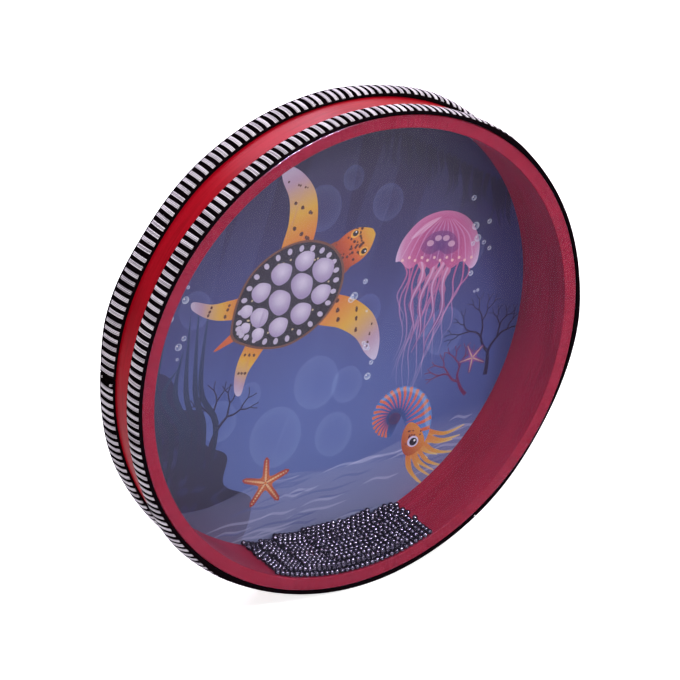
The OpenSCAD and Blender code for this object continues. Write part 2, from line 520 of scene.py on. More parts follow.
def tapeGround(end, side):
    sweep = 360 - tapeSet["gapDegrees"]
    start = tapeSet["seamAt"][end] + tapeSet["gapDegrees"] / 2
    deselectAll()
    ground = addDisc(tapeSet["groundSides"])
    wide = tapeWide / 2 - tapeSet["groundInset"]
    for vert in ground.data.vertices:      # from a disc to the tape's arched section
        share = max(-1, min(1, vert.co.y * tapeSet["groundSquare"]))
        high = tapeCrown(-share) - tapeSet["groundSink"]
        vert.co.x = tapeInnerR + (high if vert.co.x > 0.01 else 0.0)
        vert.co.y = share * wide
    parts = [ground]
    for edge in (-1, 1):
        cordR = tapeSet["cordR"]
        away = edge * (tapeWide / 2 - cordR)
        high = tapeInnerR + tapeCrown(-edge) - cordR
        cord = addDisc(tapeSet["cordSides"])
        low = tapeInnerR if edge == -1 else hoopR
        for vert in cord.data.vertices:    # the rolled edge reaches down to what it is glued to
            vert.co.x = high + vert.co.x * cordR if vert.co.x > -0.1 else low
            vert.co.y = away + vert.co.y * cordR
        parts.append(cord)
    for part in parts:
        pick(part)
        part.data.transform(tapePlace(side))
        bpy.ops.object.mode_set(mode="EDIT")
        sweepRound(sweep, start, tapeSet["steps"])
    pick(*parts)
    bpy.ops.object.join()
    for vert in ground.data.vertices:      # the glued side stays on the hoop
        radius = math.hypot(vert.co.x, vert.co.z)
        band, head, push = tapeLay(end, math.degrees(math.atan2(vert.co.z, vert.co.x)))
        if radius > tapeInnerR + tapeSet["glueLine"]:
            share = 0.5 + (side * vert.co.y - tapeMid) / tapeWide
            lift = head + (band - head) * share
            vert.co.x *= 1 + lift / radius
            vert.co.z *= 1 + lift / radius
        vert.co.y -= side * push
    bpy.ops.object.shade_smooth_by_angle(angle=math.radians(tapeSet["creaseAt"]))
    addAttribute(ground, "across", [0.0] * len(ground.data.vertices))
    addAttribute(ground, "tone", [0.5] * len(ground.data.vertices))
    return ground


# dark and pale yarn of each kind, the twist, fuzz and shades that both have, and painted shade and
# highlight
yarnLook = {
    "white": {"colours": ((0.20, 0.17, 0.21), (0.74, 0.69, 0.75)), "roughness": 0.5, "specular": 0.35},
    "black": {"colours": ((0.001, 0.0006, 0.0008), (0.004, 0.002, 0.003)), "roughness": 0.8,
              "specular": 0.0},
    "ply": (0.00052, 0.0011),   # pitch of the twist along and across a thread
    "fuzz": (2600.0, 4.0, 0.7),     # per metre, detail and roughness
    "heightMix": (0.6, 0.7),    # shares of the twist and the fuzz
    "shuffle": 57.0,        # sets the bundles' shades apart
    "paintedShadeAndToneMix": (0.42, 0.56),    # shares of the height, whose low twist grooves give painted shade, and of a thread's own shade
    "paintedCrownLight": 0.2,           # painted highlight and shade: how much paler a thread is along its middle, and darker at its sides where threads meet
    "stops": (0.3, 0.72),
    "bump": (0.8, 0.00012),     # strength and height
}


def yarnMaterial(name, kind):
    look = yarnLook
    step = tapeSet[kind]["step"]
    mat, tree, shader = newMaterial(name)
    across = attributeNode(tree, "across")
    along, sideways = look["ply"]
    turns = weigh(tree, splitNode(tree)["Y"], across, (math.tau / along, math.tau / sideways))
    twist = mathNode(tree, "MULTIPLY_ADD", mathNode(tree, "SINE", turns), 0.5, 0.5)
    height = weigh(tree, twist, noiseNode(tree, *look["fuzz"]), look["heightMix"])
    # painted highlight along each thread's middle and painted shade at its sides, where the threads meet
    paintedCrownLight = mathNode(tree, "COSINE", mathNode(tree, "MULTIPLY", across, math.tau / step))
    which = mathNode(tree, "ROUND", mathNode(tree, "DIVIDE", across, step))
    # each thread of each bundle has its own shade
    which = mathNode(tree, "MULTIPLY_ADD", attributeNode(tree, "tone"), look["shuffle"], which)
    shade = addNode(tree, "ShaderNodeTexWhiteNoise", {"W": which}, noise_dimensions="1D").outputs["Value"]
    # painted shade: the colour follows the height, so the twist's grooves are darker
    mixed = weigh(tree, height, shade, look["paintedShadeAndToneMix"])
    mixed = mathNode(tree, "MULTIPLY_ADD", paintedCrownLight, look["paintedCrownLight"], mixed)
    setInputs(tree, shader, {
        "Base Color": rampNode(tree, mixed, look["stops"], look[kind]["colours"]),
        "Normal": bumpNode(tree, height, *look["bump"]),
        "Roughness": look[kind]["roughness"],
        "Specular IOR Level": look[kind]["specular"],
    })
    return mat


# loose black ends and two stray white bits where a tape's ends meet
seamSet = {
    "ends": 9,
    "along": 0.75,          # how far they scatter round the drum, in degrees
    "spread": 0.0042,       # and across the tape
    "rise": 0.0001,         # and up and down
    "shrink": (0.16, 0.34),     # their length, as a share of a bundle's
    "endTurn": 34.0,        # most that an end slants, in degrees
    # each stray bit: shares of the pitch, the width and the length, and its slant in degrees
    "strays": ((0.0, -0.3, 0.24, 24.0), (0.35, 0.42, 0.1, 4.0)),
    "strayThin": 0.55,      # their thickness, as a share of a bundle's
}


def seamEnds(seamAt, side, rng):
    places = []
    for i in range(seamSet["ends"]):
        angle = seamAt + rng.uniform(-seamSet["along"], seamSet["along"])
        shrink = Matrix.Diagonal((1, rng.uniform(*seamSet["shrink"]), 1, 1))
        slant = Matrix.Rotation(math.radians(rng.uniform(-1, 1) * seamSet["endTurn"]), 4, "X")
        rise = rng.uniform(-seamSet["rise"], seamSet["rise"])
        push = Matrix.Translation((rise, rng.uniform(-1, 1) * seamSet["spread"], 0))
        places.append(turnRound(angle) @ tapePlace(side) @ push @ slant @ shrink)
    return places


def seamStrays(seamAt, side):
    places = []
    for pitchShare, wideShare, lengthShare, slantDegrees in seamSet["strays"]:
        angle = seamAt + (0.5 + pitchShare) * 360 / tapeSet["count"]
        slant = Matrix.Rotation(math.radians(slantDegrees), 4, "X")
        shrink = Matrix.Diagonal((1, lengthShare, seamSet["strayThin"], 1))
        push = Matrix.Translation((0, wideShare * tapeSet["white"]["length"], 0))
        places.append(turnRound(angle) @ tapePlace(side) @ push @ slant @ shrink)
    return places


def buildTape(end, side):
    seamAt = tapeSet["seamAt"][end]
    rng = random.Random(tapeSet["seed"] + side)
    white = threadBundle("whiteThread", "white")
    black = threadBundle("blackThread", "black")
    whitePlaces = bundlePlaces(end, 0.5, rng, side) + seamStrays(seamAt, side)
    tones = [rng.uniform(*tapeSet["tones"]) for _ in whitePlaces]
    floats = spreadCopies(white, whitePlaces, end + "TapeFloats", tones)
    giveMaterial(floats, whiteYarn)
    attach(floats, "drum")
    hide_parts(end + "_tape_floats")
    blackPlaces = bundlePlaces(end, 0.0, rng, side)
    blackPlaces += seamEnds(seamAt + 180 / tapeSet["count"], side, rng)
    tones = [rng.uniform(*tapeSet["tones"]) for _ in blackPlaces]
    threads = spreadCopies(black, blackPlaces, end + "TapeThreads", tones)
    ground = tapeGround(end, side)
    pick(ground, threads)
    bpy.ops.object.join()
    ground.name = end + "TapeGround"
    giveMaterial(ground, blackYarn)
    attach(ground, "drum")
    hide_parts(end + "_tape_ground")
    bpy.data.objects.remove(white)
    bpy.data.objects.remove(black)


whiteYarn = yarnMaterial("whiteYarn", "white")
blackYarn = yarnMaterial("blackYarn", "black")
buildTape("front", 1)
print("front tape woven")
buildTape("back", -1)
print("back tape woven")

# the picture on the back head, drawn as flat shapes in millimetres from the front: x to the right, z up
pictureSet = {
    "radius": innerR + 0.00025,  # just into the groove between the wall and the film
    "thick": 0.00006,
    "seat": 0.00002,        # between the ink and the film
    "rimSides": 180,
    "rimFree": 1.0,         # no point of the grid is this near to the rim
    "grid": 2.6,            # spacing of the points that carry the soft colours
    "edgeStep": 1.1,        # longest stretch of an outline's arc
    "shade": 0.74,
    "grain": 0.02,          # how far the shade changes from speck to speck
    "grainSize": (2400.0, 1.0),     # specks per metre, and their detail
    "roughness": 0.42,
    "specular": 0.25,
    "seed": 12,
}
shapes = []     # outlines and their paints, from the back to the front
inkRng = random.Random(pictureSet["seed"])


def blend(one, other, share):
    return tuple(a + (b - a) * share for a, b in zip(one, other))


def flat(colour, cover=1.0):
    return lambda x, z: (colour, cover)


# a paint that changes from one point to another, through stops of share, colour and cover
def fade(start, end, stops):
    dx, dz = end[0] - start[0], end[1] - start[1]
    length = dx * dx + dz * dz

    def paint(x, z):
        return stopAt(stops, ((x - start[0]) * dx + (z - start[1]) * dz) / length)
    return paint


def glow(middle, radius, stops):
    def paint(x, z):
        return stopAt(stops, math.hypot(x - middle[0], z - middle[1]) / radius)
    return paint


def stopAt(stops, share):
    share = min(max(share, stops[0][0]), stops[-1][0])
    for (a, one, coverA), (b, other, coverB) in zip(stops, stops[1:]):
        if share <= b:
            part = (share - a) / max(b - a, 1e-6)
            return blend(one, other, part), coverA + (coverB - coverA) * part
    return stops[-1][1], stops[-1][2]


def draw(points, paint):
    area = sum(a[0] * b[1] - b[0] * a[1] for a, b in zip(points, points[1:] + points[:1]))
    shapes.append((points if area > 0 else points[::-1], paint))    # an outline runs anticlockwise


def oval(x, z, a, b, turn=0.0):
    count = int(min(64, max(8, 3.2 * (a + b) / pictureSet["edgeStep"])))
    turn = math.radians(turn)
    ring = [(a * math.cos(t), b * math.sin(t)) for t in np.linspace(0, math.tau, count, endpoint=False)]
    return [(x + u * math.cos(turn) - v * math.sin(turn), z + u * math.sin(turn) + v * math.cos(turn))
            for u, v in ring]


def curveThrough(points, steps, closed):
    count = len(points)
    smooth = []
    for i in range(count if closed else count - 1):
        around = range(i - 1, i + 3)
        near = [points[k % count] if closed else points[min(max(k, 0), count - 1)] for k in around]
        for s in range(steps):
            t = s / steps
            weights = (-t + 2 * t * t - t ** 3, 2 - 5 * t * t + 3 * t ** 3,
                       t + 4 * t * t - 3 * t ** 3, t ** 3 - t * t)
            smooth.append(tuple(sum(w * p[k] for w, p in zip(weights, near)) / 2 for k in (0, 1)))
    return smooth if closed else smooth + [points[-1]]


def blob(points, steps=6):
    return curveThrough(points, steps, True)


# a band along a path, whose width runs through the given values
def ribbon(points, widths, steps=5):
    path = curveThrough(points, steps, False)
    shares = np.linspace(0, 1, len(path))
    wide = np.interp(shares, np.linspace(0, 1, len(widths)), widths)
    left, right = [], []
    for i, (x, z) in enumerate(path):
        back, ahead = path[max(i - 1, 0)], path[min(i + 1, len(path) - 1)]
        dx, dz = ahead[0] - back[0], ahead[1] - back[1]
        length = math.hypot(dx, dz) or 1.0
        left.append((x - dz / length * wide[i] / 2, z + dx / length * wide[i] / 2))
        right.append((x + dz / length * wide[i] / 2, z - dx / length * wide[i] / 2))
    return left + right[::-1]


# a motif is drawn about its own middle and then put in its place
def putter(at, turn, size):
    cosine, sine = math.cos(math.radians(turn)) * size, math.sin(math.radians(turn)) * size

    def put(points):
        if isinstance(points, tuple):
            return put([points])[0]
        return [(at[0] + x * cosine - z * sine, at[1] + x * sine + z * cosine) for x, z in points]
    return put


sea = {
    "water": ((-118, (0.43, 0.46, 0.66)), (-80, (0.33, 0.41, 0.66)), (-30, (0.27, 0.34, 0.60)),
              (20, (0.23, 0.25, 0.48)), (65, (0.17, 0.155, 0.32)), (118, (0.10, 0.085, 0.18))),
    "slope": 0.12,          # how much lower the same water lies at the right
    "lightAt": (-12, -40),
    "lightWide": 60,
    "lightShare": 0.16,     # how far the water goes towards the pale there
    "pale": (0.62, 0.72, 0.95),
    "dark": (0.09, 0.09, 0.2),
    "rays": ((-64, 20, 10), (-30, 14, 22), (2, 24, 12), (44, 12, 18), (78, 18, 8)),     # top, width, lean
    "discs": ((-6, -28, 13), (12, -34, 9), (-62, -34, 10), (-30, -52, 15), (24, 4, 8), (70, -20, 12),
              (58, -12, 7), (-74, 30, 9), (-2, 66, 11), (16, 78, 6), (36, 60, 9), (-44, -24, 6),
              (4, -60, 11), (86, 22, 8)),
}


def waterAt(x, z):
    heights, colours = zip(*sea["water"])
    height = z + sea["slope"] * x
    colour = tuple(float(np.interp(height, heights, channel)) for channel in zip(*colours))
    away = (x - sea["lightAt"][0]) ** 2 + (z - sea["lightAt"][1]) ** 2
    return blend(colour, sea["pale"], sea["lightShare"] * math.exp(-away / sea["lightWide"] ** 2))


def drawLight():
    pale = sea["pale"]
    for x, wide, lean in sea["rays"]:
        foot = (x - 60 - lean, -70)
        ray = [(x, 118), (x + wide, 118), (foot[0] + wide * 2.2, foot[1]), foot]
        draw(ray, fade((x, 118), foot, ((0, pale, 0.10), (0.7, pale, 0.04), (1, pale, 0.0))))
    for x, z, r in sea["discs"]:
        draw(oval(x, z, r, r * 1.12),
             glow((x, z), r, ((0, pale, 0.06), (0.75, pale, 0.12), (1, pale, 0.2))))


def drawRocks():
    dark, far = sea["dark"], (0.15, 0.16, 0.32)
    arch = blob([(20, 118), (28, 98), (44, 92), (52, 78), (66, 80), (74, 66), (90, 62), (96, 44),
                 (112, 40), (125, 60), (100, 110), (60, 125)])
    draw(arch, fade((60, 120), (80, 45), ((0, dark, 0.95), (1, far, 0.85))))
    cliff = blob([(-110, -8), (-98, 2), (-88, -4), (-84, -20), (-72, -26), (-70, -44), (-58, -54),
                  (-60, -70), (-44, -84), (-60, -110), (-110, -80)])
    draw(cliff, fade((-90, 0), (-60, -80), ((0, far, 0.8), (1, dark, 0.95))))
    for i in range(26):     # pits and knobs on the rock
        x, z = inkRng.uniform(-98, -58), inkRng.uniform(-80, -10)
        if z < -16 - (x + 92) * 1.3:
            draw(oval(x, z, inkRng.uniform(1.5, 4), inkRng.uniform(1, 2.4), inkRng.uniform(0, 90)),
                 flat((0.24, 0.26, 0.46), 0.4))
    for i in range(22):     # growths that hang from the arch
        x = 34 + i * 3.6 + inkRng.uniform(-1, 1)
        top = 96 - i * 2.4
        length = inkRng.uniform(8, 22)
        sway = inkRng.uniform(-3, 3)
        path = [(x, top + 6), (x + sway, top - length / 2), (x - sway, top - length)]
        draw(ribbon(path, (3.4, 2.6, 0.3)),
             fade((x, top), (x, top - length), ((0, dark, 0.9), (1, far, 0.6))))


def drawSand():
    sand, shade = (0.62, 0.64, 0.80), (0.36, 0.42, 0.66)
    bed = [(-120, -78), (-70, -80), (-30, -74), (10, -80), (50, -74), (84, -62), (120, -50), (120, -125),
           (-120, -125)]
    draw(blob(bed), fade((0, -66), (0, -112), ((0, sand, 0.0), (0.35, sand, 0.5), (1, sand, 0.75))))
    for i in range(54):     # ripples
        z = -78 - 38 * (i / 54) ** 1.2
        x = inkRng.uniform(-60, 90)
        half = inkRng.uniform(7, 22)
        lift = 0.10 * (x - 10) ** 2 / 90
        z += lift
        path = [(x - half, z), (x - half / 3, z + 1.2), (x + half / 3, z - 0.6), (x + half, z)]
        colour = (0.82, 0.84, 0.98) if i % 2 else shade
        draw(ribbon(path, (0.2, 1.3, 1.5, 0.2)), flat(colour, 0.45))


def drawBranches(x, z, heading, length, wide, depth, colour):
    end = (x + length * math.cos(heading), z + length * math.sin(heading))
    bend = inkRng.uniform(-0.25, 0.25)
    mid = (x + length / 2 * math.cos(heading + bend), z + length / 2 * math.sin(heading + bend))
    draw(ribbon([(x, z), mid, end], (wide, wide * 0.86, wide * 0.72), 3), flat(colour))
    if depth:
        for side in (-1, 1):
            turn = heading + side * inkRng.uniform(0.3, 0.62)
            drawBranches(*end, turn, length * inkRng.uniform(0.68, 0.86), wide * 0.7, depth - 1, colour)
    else:
        draw(oval(*end, wide * 0.62, wide * 0.62), flat(colour))


def drawCorals():
    drawBranches(-66, -66, math.radians(100), 15, 3.6, 5, (0.13, 0.13, 0.27))
    drawBranches(96, -52, math.radians(84), 13, 2.6, 5, (0.12, 0.11, 0.24))
    drawBranches(84, -60, math.radians(118), 10, 2.2, 4, (0.42, 0.16, 0.34))
    for i in range(7):      # ribbons of weed
        x = -98 + i * 5
        sway = inkRng.uniform(2, 5)
        top = inkRng.uniform(-6, 34)
        path = [(x, -60), (x + sway, -34), (x - sway, -12), (x + sway * 0.6, top)]
        draw(ribbon(path, (1.6, 3.4, 3.0, 0.2)),
             fade((x, -60), (x, top), ((0, (0.1, 0.13, 0.26), 1), (1, (0.16, 0.26, 0.42), 0.9))))


turtle = {
    "at": (-22, 24), "turn": 24, "size": 1.16,
    "black": (0.10, 0.09, 0.13), "lilac": (0.84, 0.80, 0.90), "cream": (0.93, 0.85, 0.68),
    "orange": (0.86, 0.42, 0.20), "yellow": (0.90, 0.70, 0.26), "brown": (0.30, 0.15, 0.13),
    "scutes": ((19, 0, 5.4, 5.8), (7.4, 0, 5.2, 6.4), (-4.6, 0, 5.2, 6.2), (-15.6, 0, 4.4, 4.6),
               (-23, 0, 2.2, 2.6), (13.4, 9.6, 5.0, 4.4), (1.6, 11.4, 5.2, 5.0), (-10, 10.0, 4.8, 4.4),
               (-19.4, 6.6, 3.0, 3.0)),
}


def drawFlipper(put, side, outline, spots, tip):
    outline = [(x, z * side) for x, z in outline]
    root, end = put(outline[0]), put((tip[0], tip[1] * side))
    skin = ((0, turtle["orange"], 1), (0.45, turtle["yellow"], 1), (0.8, (0.74, 0.62, 0.72), 1),
            (1, turtle["lilac"], 0.95))
    draw(put(blob(outline)), fade(root, end, skin))
    for share in np.linspace(0.12, 0.95, spots):
        for lane in (-1, 0, 1):
            i = int(share * (len(outline) / 2 - 1))
            a, b = outline[i], outline[-1 - i]
            part = 0.5 + lane * 0.26 + inkRng.uniform(-0.06, 0.06)
            x, z = blend(a, b, part)
            r = (1.35 - 0.9 * share) * inkRng.uniform(0.8, 1.2)
            draw(put(oval(x, z, r, r * 0.8, inkRng.uniform(0, 90))), flat(turtle["brown"], 0.85))


def drawTurtle():
    put = putter(turtle["at"], turtle["turn"], turtle["size"])
    black, lilac = turtle["black"], turtle["lilac"]
    front = [(14, 12), (20, 15), (27, 24), (31, 36), (29, 48), (23, 56), (20, 50), (19, 40), (14, 30),
             (5, 19)]
    rear = [(-16, 12), (-23, 16), (-31, 20), (-38, 27), (-40, 24), (-36, 16), (-30, 10), (-22, 6)]
    for side in (-1, 1):
        drawFlipper(put, side, front, 9, (21, 55))
        drawFlipper(put, side, rear, 5, (-40, 27))
    draw(put(blob([(-26, 2), (-36, 1), (-40, 0), (-36, -1), (-26, -2)])), flat(turtle["orange"]))
    draw(put(blob([(22, 7), (32, 6.4), (32, -6.4), (22, -7)])), flat((0.62, 0.30, 0.20)))
    head = [(28, 5.4), (34, 7.8), (41, 6.8), (46.5, 2.4), (47.2, 0), (46.5, -2.4), (41, -6.8),
            (34, -7.8), (28, -5.4)]
    skin = ((0, turtle["yellow"], 1), (0.6, turtle["orange"], 1), (1, (0.66, 0.26, 0.16), 1))
    draw(put(blob(head)), fade(put((46, 0)), put((28, 0)), skin))
    for i in range(34):
        x, z = inkRng.uniform(29, 43), inkRng.uniform(-6.4, 6.4)
        r = inkRng.uniform(0.35, 0.8)
        draw(put(oval(x, z, r, r)), flat(turtle["brown"], 0.9))
    for side in (-1, 1):
        draw(put(oval(39, 5.0 * side, 2.4, 1.9)), flat((0.96, 0.72, 0.30)))
        draw(put(oval(39.2, 5.1 * side, 1.6, 1.3)), flat(black))
        draw(put(oval(39.7, 5.5 * side, 0.45, 0.4)), flat((0.95, 0.95, 1.0)))
    shell = [(29, 0), (26, 10), (17, 18.5), (4, 22.5), (-10, 21), (-21, 14), (-28.5, 5), (-30.5, 0),
             (-28.5, -5), (-21, -14), (-10, -21), (4, -22.5), (17, -18.5), (26, -10)]
    draw(put(blob(shell)), flat((0.46, 0.30, 0.24)))
    draw(put(blob([(x * 0.96, z * 0.955) for x, z in shell])),
         glow(put((4, 6)), 34, ((0, (0.20, 0.18, 0.25), 1), (1, black, 1))))
    ring = blob([(x * 0.86, z * 0.85) for x, z in shell], 4)
    for i in range(0, len(ring), 2):    # pale spots round the shell's edge
        x, z = ring[i]
        draw(put(oval(x, z, 1.55, 1.2, math.degrees(math.atan2(z, x)))), flat(lilac, 0.95))
    for i in range(46):     # small flecks in the dark between the scutes
        angle, reach = inkRng.uniform(0, math.tau), inkRng.uniform(0.70, 0.78)
        x, z = 27 * reach * math.cos(angle), 21 * reach * math.sin(angle)
        draw(put(oval(x, z, 0.55, 0.45)), flat(turtle["cream"], 0.85))
    for x, z, a, b in turtle["scutes"]:
        for side in ((1,) if z == 0 else (-1, 1)):
            corners = [(x + a * (1 + 0.10 * math.cos(3 * t)) * math.cos(t), side * z + b * math.sin(t))
                       for t in np.linspace(0, math.tau, 9, endpoint=False)]
            plate = ((0, (0.93, 0.90, 0.97), 1), (1, (0.66, 0.60, 0.76), 1))
            draw(put(blob(corners, 3)), glow(put((x + 1, side * z + 1)), 7, plate))


jelly = {
    "at": (66, 24), "turn": -14, "size": 1.06,
    "rose": (0.80, 0.36, 0.58), "plum": (0.36, 0.20, 0.48), "mist": (0.90, 0.78, 0.92),
}


def drawJelly():
    put = putter(jelly["at"], jelly["turn"], jelly["size"])
    rose, plum, mist = jelly["rose"], jelly["plum"], jelly["mist"]
    for i in range(13):     # long threads
        x = -19 + i * 3.2
        length = 38 + 30 * math.sin(math.pi * i / 12) + inkRng.uniform(-6, 6)
        path = [(x, -4)]
        for k in range(1, 7):
            path.append((x * (1 - 0.05 * k) + 2.4 * math.sin(k * 1.5 + i * 1.1), -4 - length * k / 6))
        draw(put(ribbon(path, (1.0, 0.8, 0.25))),
             fade(put((x, -4)), put((x, -4 - length)), ((0, rose, 0.9), (1, mist, 0.25))))
    for i, x in enumerate((-9, -3, 3, 9)):      # frilled arms
        length = 40 + 7 * (i % 2)
        left, right = [], []
        for k in range(17):
            z = -3 - length * k / 16
            sway = x * (1 - 0.02 * k) + 2.0 * math.sin(k * 0.55 + i)
            wide = (4.2 - 0.22 * k) * (1 + 0.38 * math.sin(k * 2.2 + i))
            left.append((sway - wide / 2, z))
            right.append((sway + wide / 2, z))
        draw(put(blob(left + right[::-1], 3)),
             fade(put((0, -3)), put((0, -48)), ((0, (0.88, 0.52, 0.68), 0.95), (1, plum, 0.7))))
        middle = [((a + b) / 2, z) for (a, z), (b, _) in zip(left, right)]
        draw(put(ribbon(middle, (1.2, 0.2), 2)), flat(mist, 0.6))
    bell = [(-24, -3), (-22.5, 7), (-15, 17), (-5, 21.5), (5, 21.5), (15, 17), (22.5, 7), (24, -3)]
    hem = [(21 - 6 * k, -7.2 if k % 2 == 0 else -3.6) for k in range(8)]
    skin = ((0, (0.58, 0.30, 0.58), 0.96), (0.55, rose, 0.94), (0.86, (0.86, 0.56, 0.74), 0.95),
            (1, mist, 0.96))
    draw(put(blob(bell + hem)), glow(put((0, 4)), 26, skin))
    for k in range(-5, 6):      # ribs of the bell
        foot = (k * 4.2, -3 + 0.04 * k * k)
        draw(put(ribbon([(k * 0.9, 18), (k * 3.1, 10), foot], (0.25, 0.8, 0.5))), flat(mist, 0.42))
    draw(put(blob([(-11, 3), (-7, 10), (0, 12), (7, 10), (11, 3), (5, 0), (0, 2), (-5, 0)])),
         glow(put((0, 5)), 12, ((0, plum, 0.85), (1, (0.50, 0.22, 0.50), 0.5))))
    for x, z, r in ((-6, 5.6, 2.1), (-2, 8.2, 2.0), (2.6, 8.2, 2.0), (6.4, 5.4, 2.1)):
        draw(put(oval(x, z, r, r * 0.75)), flat((0.96, 0.80, 0.86), 0.7))
    draw(put(blob([(-18, 8), (-11, 15.5), (-3, 19), (-6, 16), (-13, 10)])), flat((1.0, 0.94, 1.0), 0.4))
    for k in range(12):     # beads along the hem
        low = -2.4 + (0.8 if k % 2 else -0.6)
        draw(put(oval(-20 + k * 3.64, low, 0.8, 0.8)), flat((1.0, 0.84, 0.80), 0.85))


nautilus = {
    "at": (40, -62), "turn": -18, "size": 1.12,
    "blue": (0.27, 0.46, 0.76), "navy": (0.14, 0.15, 0.36), "orange": (0.88, 0.46, 0.24),
}


def coil(angle, reach=1.0):    # a point on the shell's spiral, from its mouth backwards
    radius = 24 * math.exp(-0.19 * angle) * reach
    turn = math.radians(-28) + angle
    return (radius * math.cos(turn), radius * math.sin(turn))


def drawNautilus():
    put = putter(nautilus["at"], nautilus["turn"], nautilus["size"])
    blue, navy, orange = nautilus["blue"], nautilus["navy"], nautilus["orange"]
    for i in range(15):     # feelers
        share = i / 14
        root = (13 + 5 * share, -13 + 9 * share)
        length = 19 + 7 * math.sin(i * 2.3)
        lean = math.radians(-74 + 66 * share)
        mid = (root[0] + length * 0.55 * math.cos(lean), root[1] + length * 0.55 * math.sin(lean))
        tip = (root[0] + length * math.cos(lean + 0.35), root[1] + length * math.sin(lean + 0.35) - 2)
        skin = ((0, orange, 1), (0.6, (0.92, 0.70, 0.34), 1), (1, (0.95, 0.88, 0.66), 1))
        draw(put(ribbon([root, mid, tip], (2.3, 1.9, 0.5))), fade(put(root), put(tip), skin))
    rim = [coil(t) for t in np.linspace(0, 5.4, 46)]
    inner = [coil(5.4, 0.9), (4, 2), (8, -3), (13, -9)]
    draw(put(rim + inner),
         glow(put((0, 0)), 26, ((0, navy, 1), (0.5, blue, 1), (1, (0.46, 0.62, 0.88), 1))))
    for i in range(21):     # flames that run from the coil's middle to its back
        angle = 0.35 + i * 0.235
        outer, mid, root = coil(angle, 0.985), coil(angle - 0.16, 0.72), coil(angle - 0.5, 0.34)
        wide = 2.2 * math.exp(-0.1 * angle)
        flame = ((0, orange, 1), (0.6, (0.84, 0.40, 0.42), 1), (1, (0.62, 0.30, 0.52), 0.9))
        draw(put(ribbon([outer, mid, root], (wide, wide * 0.75, 0.3))), fade(put(outer), put(root), flame))
    gleam = [coil(t, 0.97) for t in (0.4, 1.2, 2.0, 2.8)] + [coil(t, 0.86) for t in (2.8, 2.0, 1.2, 0.4)]
    draw(put(blob(gleam)), flat((0.85, 0.92, 1.0), 0.3))
    draw(put(oval(0.5, 0.5, 3.2, 3.0)), glow(put((0, 0)), 3.4, ((0, navy, 1), (1, (0.30, 0.20, 0.40), 1))))
    draw(put(blob([(21.4, -11.6), (17, -4), (10, -1), (7.5, -7), (10, -15), (15, -17.5)])),
         fade(put((20, -6)), put((10, -16)), ((0, (0.93, 0.62, 0.26), 1), (1, (0.70, 0.32, 0.22), 1))))
    for i in range(16):
        x, z = inkRng.uniform(10.5, 18), inkRng.uniform(-13, -5)
        draw(put(oval(x, z, 0.55, 0.5)), flat((0.40, 0.16, 0.18), 0.9))
    draw(put(oval(14.6, -10.4, 3.1, 2.8)), flat((0.88, 0.86, 0.98)))
    draw(put(oval(14.8, -10.5, 2.1, 2.0)), flat((0.08, 0.07, 0.12)))
    draw(put(oval(15.4, -9.8, 0.6, 0.6)), flat((1.0, 1.0, 1.0)))


# the outline of one arm: angles from its middle line and distances from the middle
starArm = ((-0.63, 4.6), (-0.20, 10), (-0.09, 14.5), (0.0, 16), (0.09, 14.5), (0.20, 10))


def drawStarfish(at, turn, size, colour, dark):
    put = putter(at, turn, size)
    arms = [math.radians(72 * k) for k in range(5)]
    outline = [(reach * math.cos(base + offset), reach * math.sin(base + offset))
               for base in arms for offset, reach in starArm]
    draw(put(blob(outline, 3)), glow(at, 17 * size, ((0, colour, 1), (1, dark, 1))))
    for base in arms:
        for step in range(8):
            r = 1.6 + step * 1.75
            knob = oval(r * math.cos(base), r * math.sin(base), 0.95 - step * 0.07, 0.8 - step * 0.05)
            draw(put(knob), flat((0.96, 0.84, 0.62), 0.9))
            for side in (-1, 1):
                lane = base + side * (0.52 / (1 + step * 0.5))
                draw(put(oval(r * math.cos(lane), r * math.sin(lane), 0.5, 0.45)), flat(dark, 0.8))


def drawBubbles():
    for i in range(30):
        trail = i % 3
        x = (-84, 20, 92)[trail] + inkRng.uniform(-7, 7)
        z = (6, -36, -10)[trail] + inkRng.uniform(0, 60)
        r = inkRng.uniform(0.7, 2.3)
        skin = ((0, sea["pale"], 0.1), (0.7, sea["pale"], 0.3), (1, (0.9, 0.95, 1), 0.8))
        draw(oval(x, z, r, r), glow((x, z), r, skin))
        draw(oval(x - r * 0.35, z + r * 0.35, r * 0.25, r * 0.25), flat((1.0, 1.0, 1.0), 0.85))


def composePicture():
    drawLight()
    drawRocks()
    drawSand()
    drawCorals()
    drawStarfish((-36, -76), 14, 0.9, (0.90, 0.52, 0.26), (0.64, 0.22, 0.20))
    drawStarfish((88, -40), 40, 0.55, (0.66, 0.40, 0.70), (0.34, 0.18, 0.44))
    drawJelly()
    drawNautilus()
    drawTurtle()
    drawBubbles()


def toLinear(value):
    return value / 12.92 if value <= 0.04045 else ((value + 0.055) / 1.055) ** 2.4


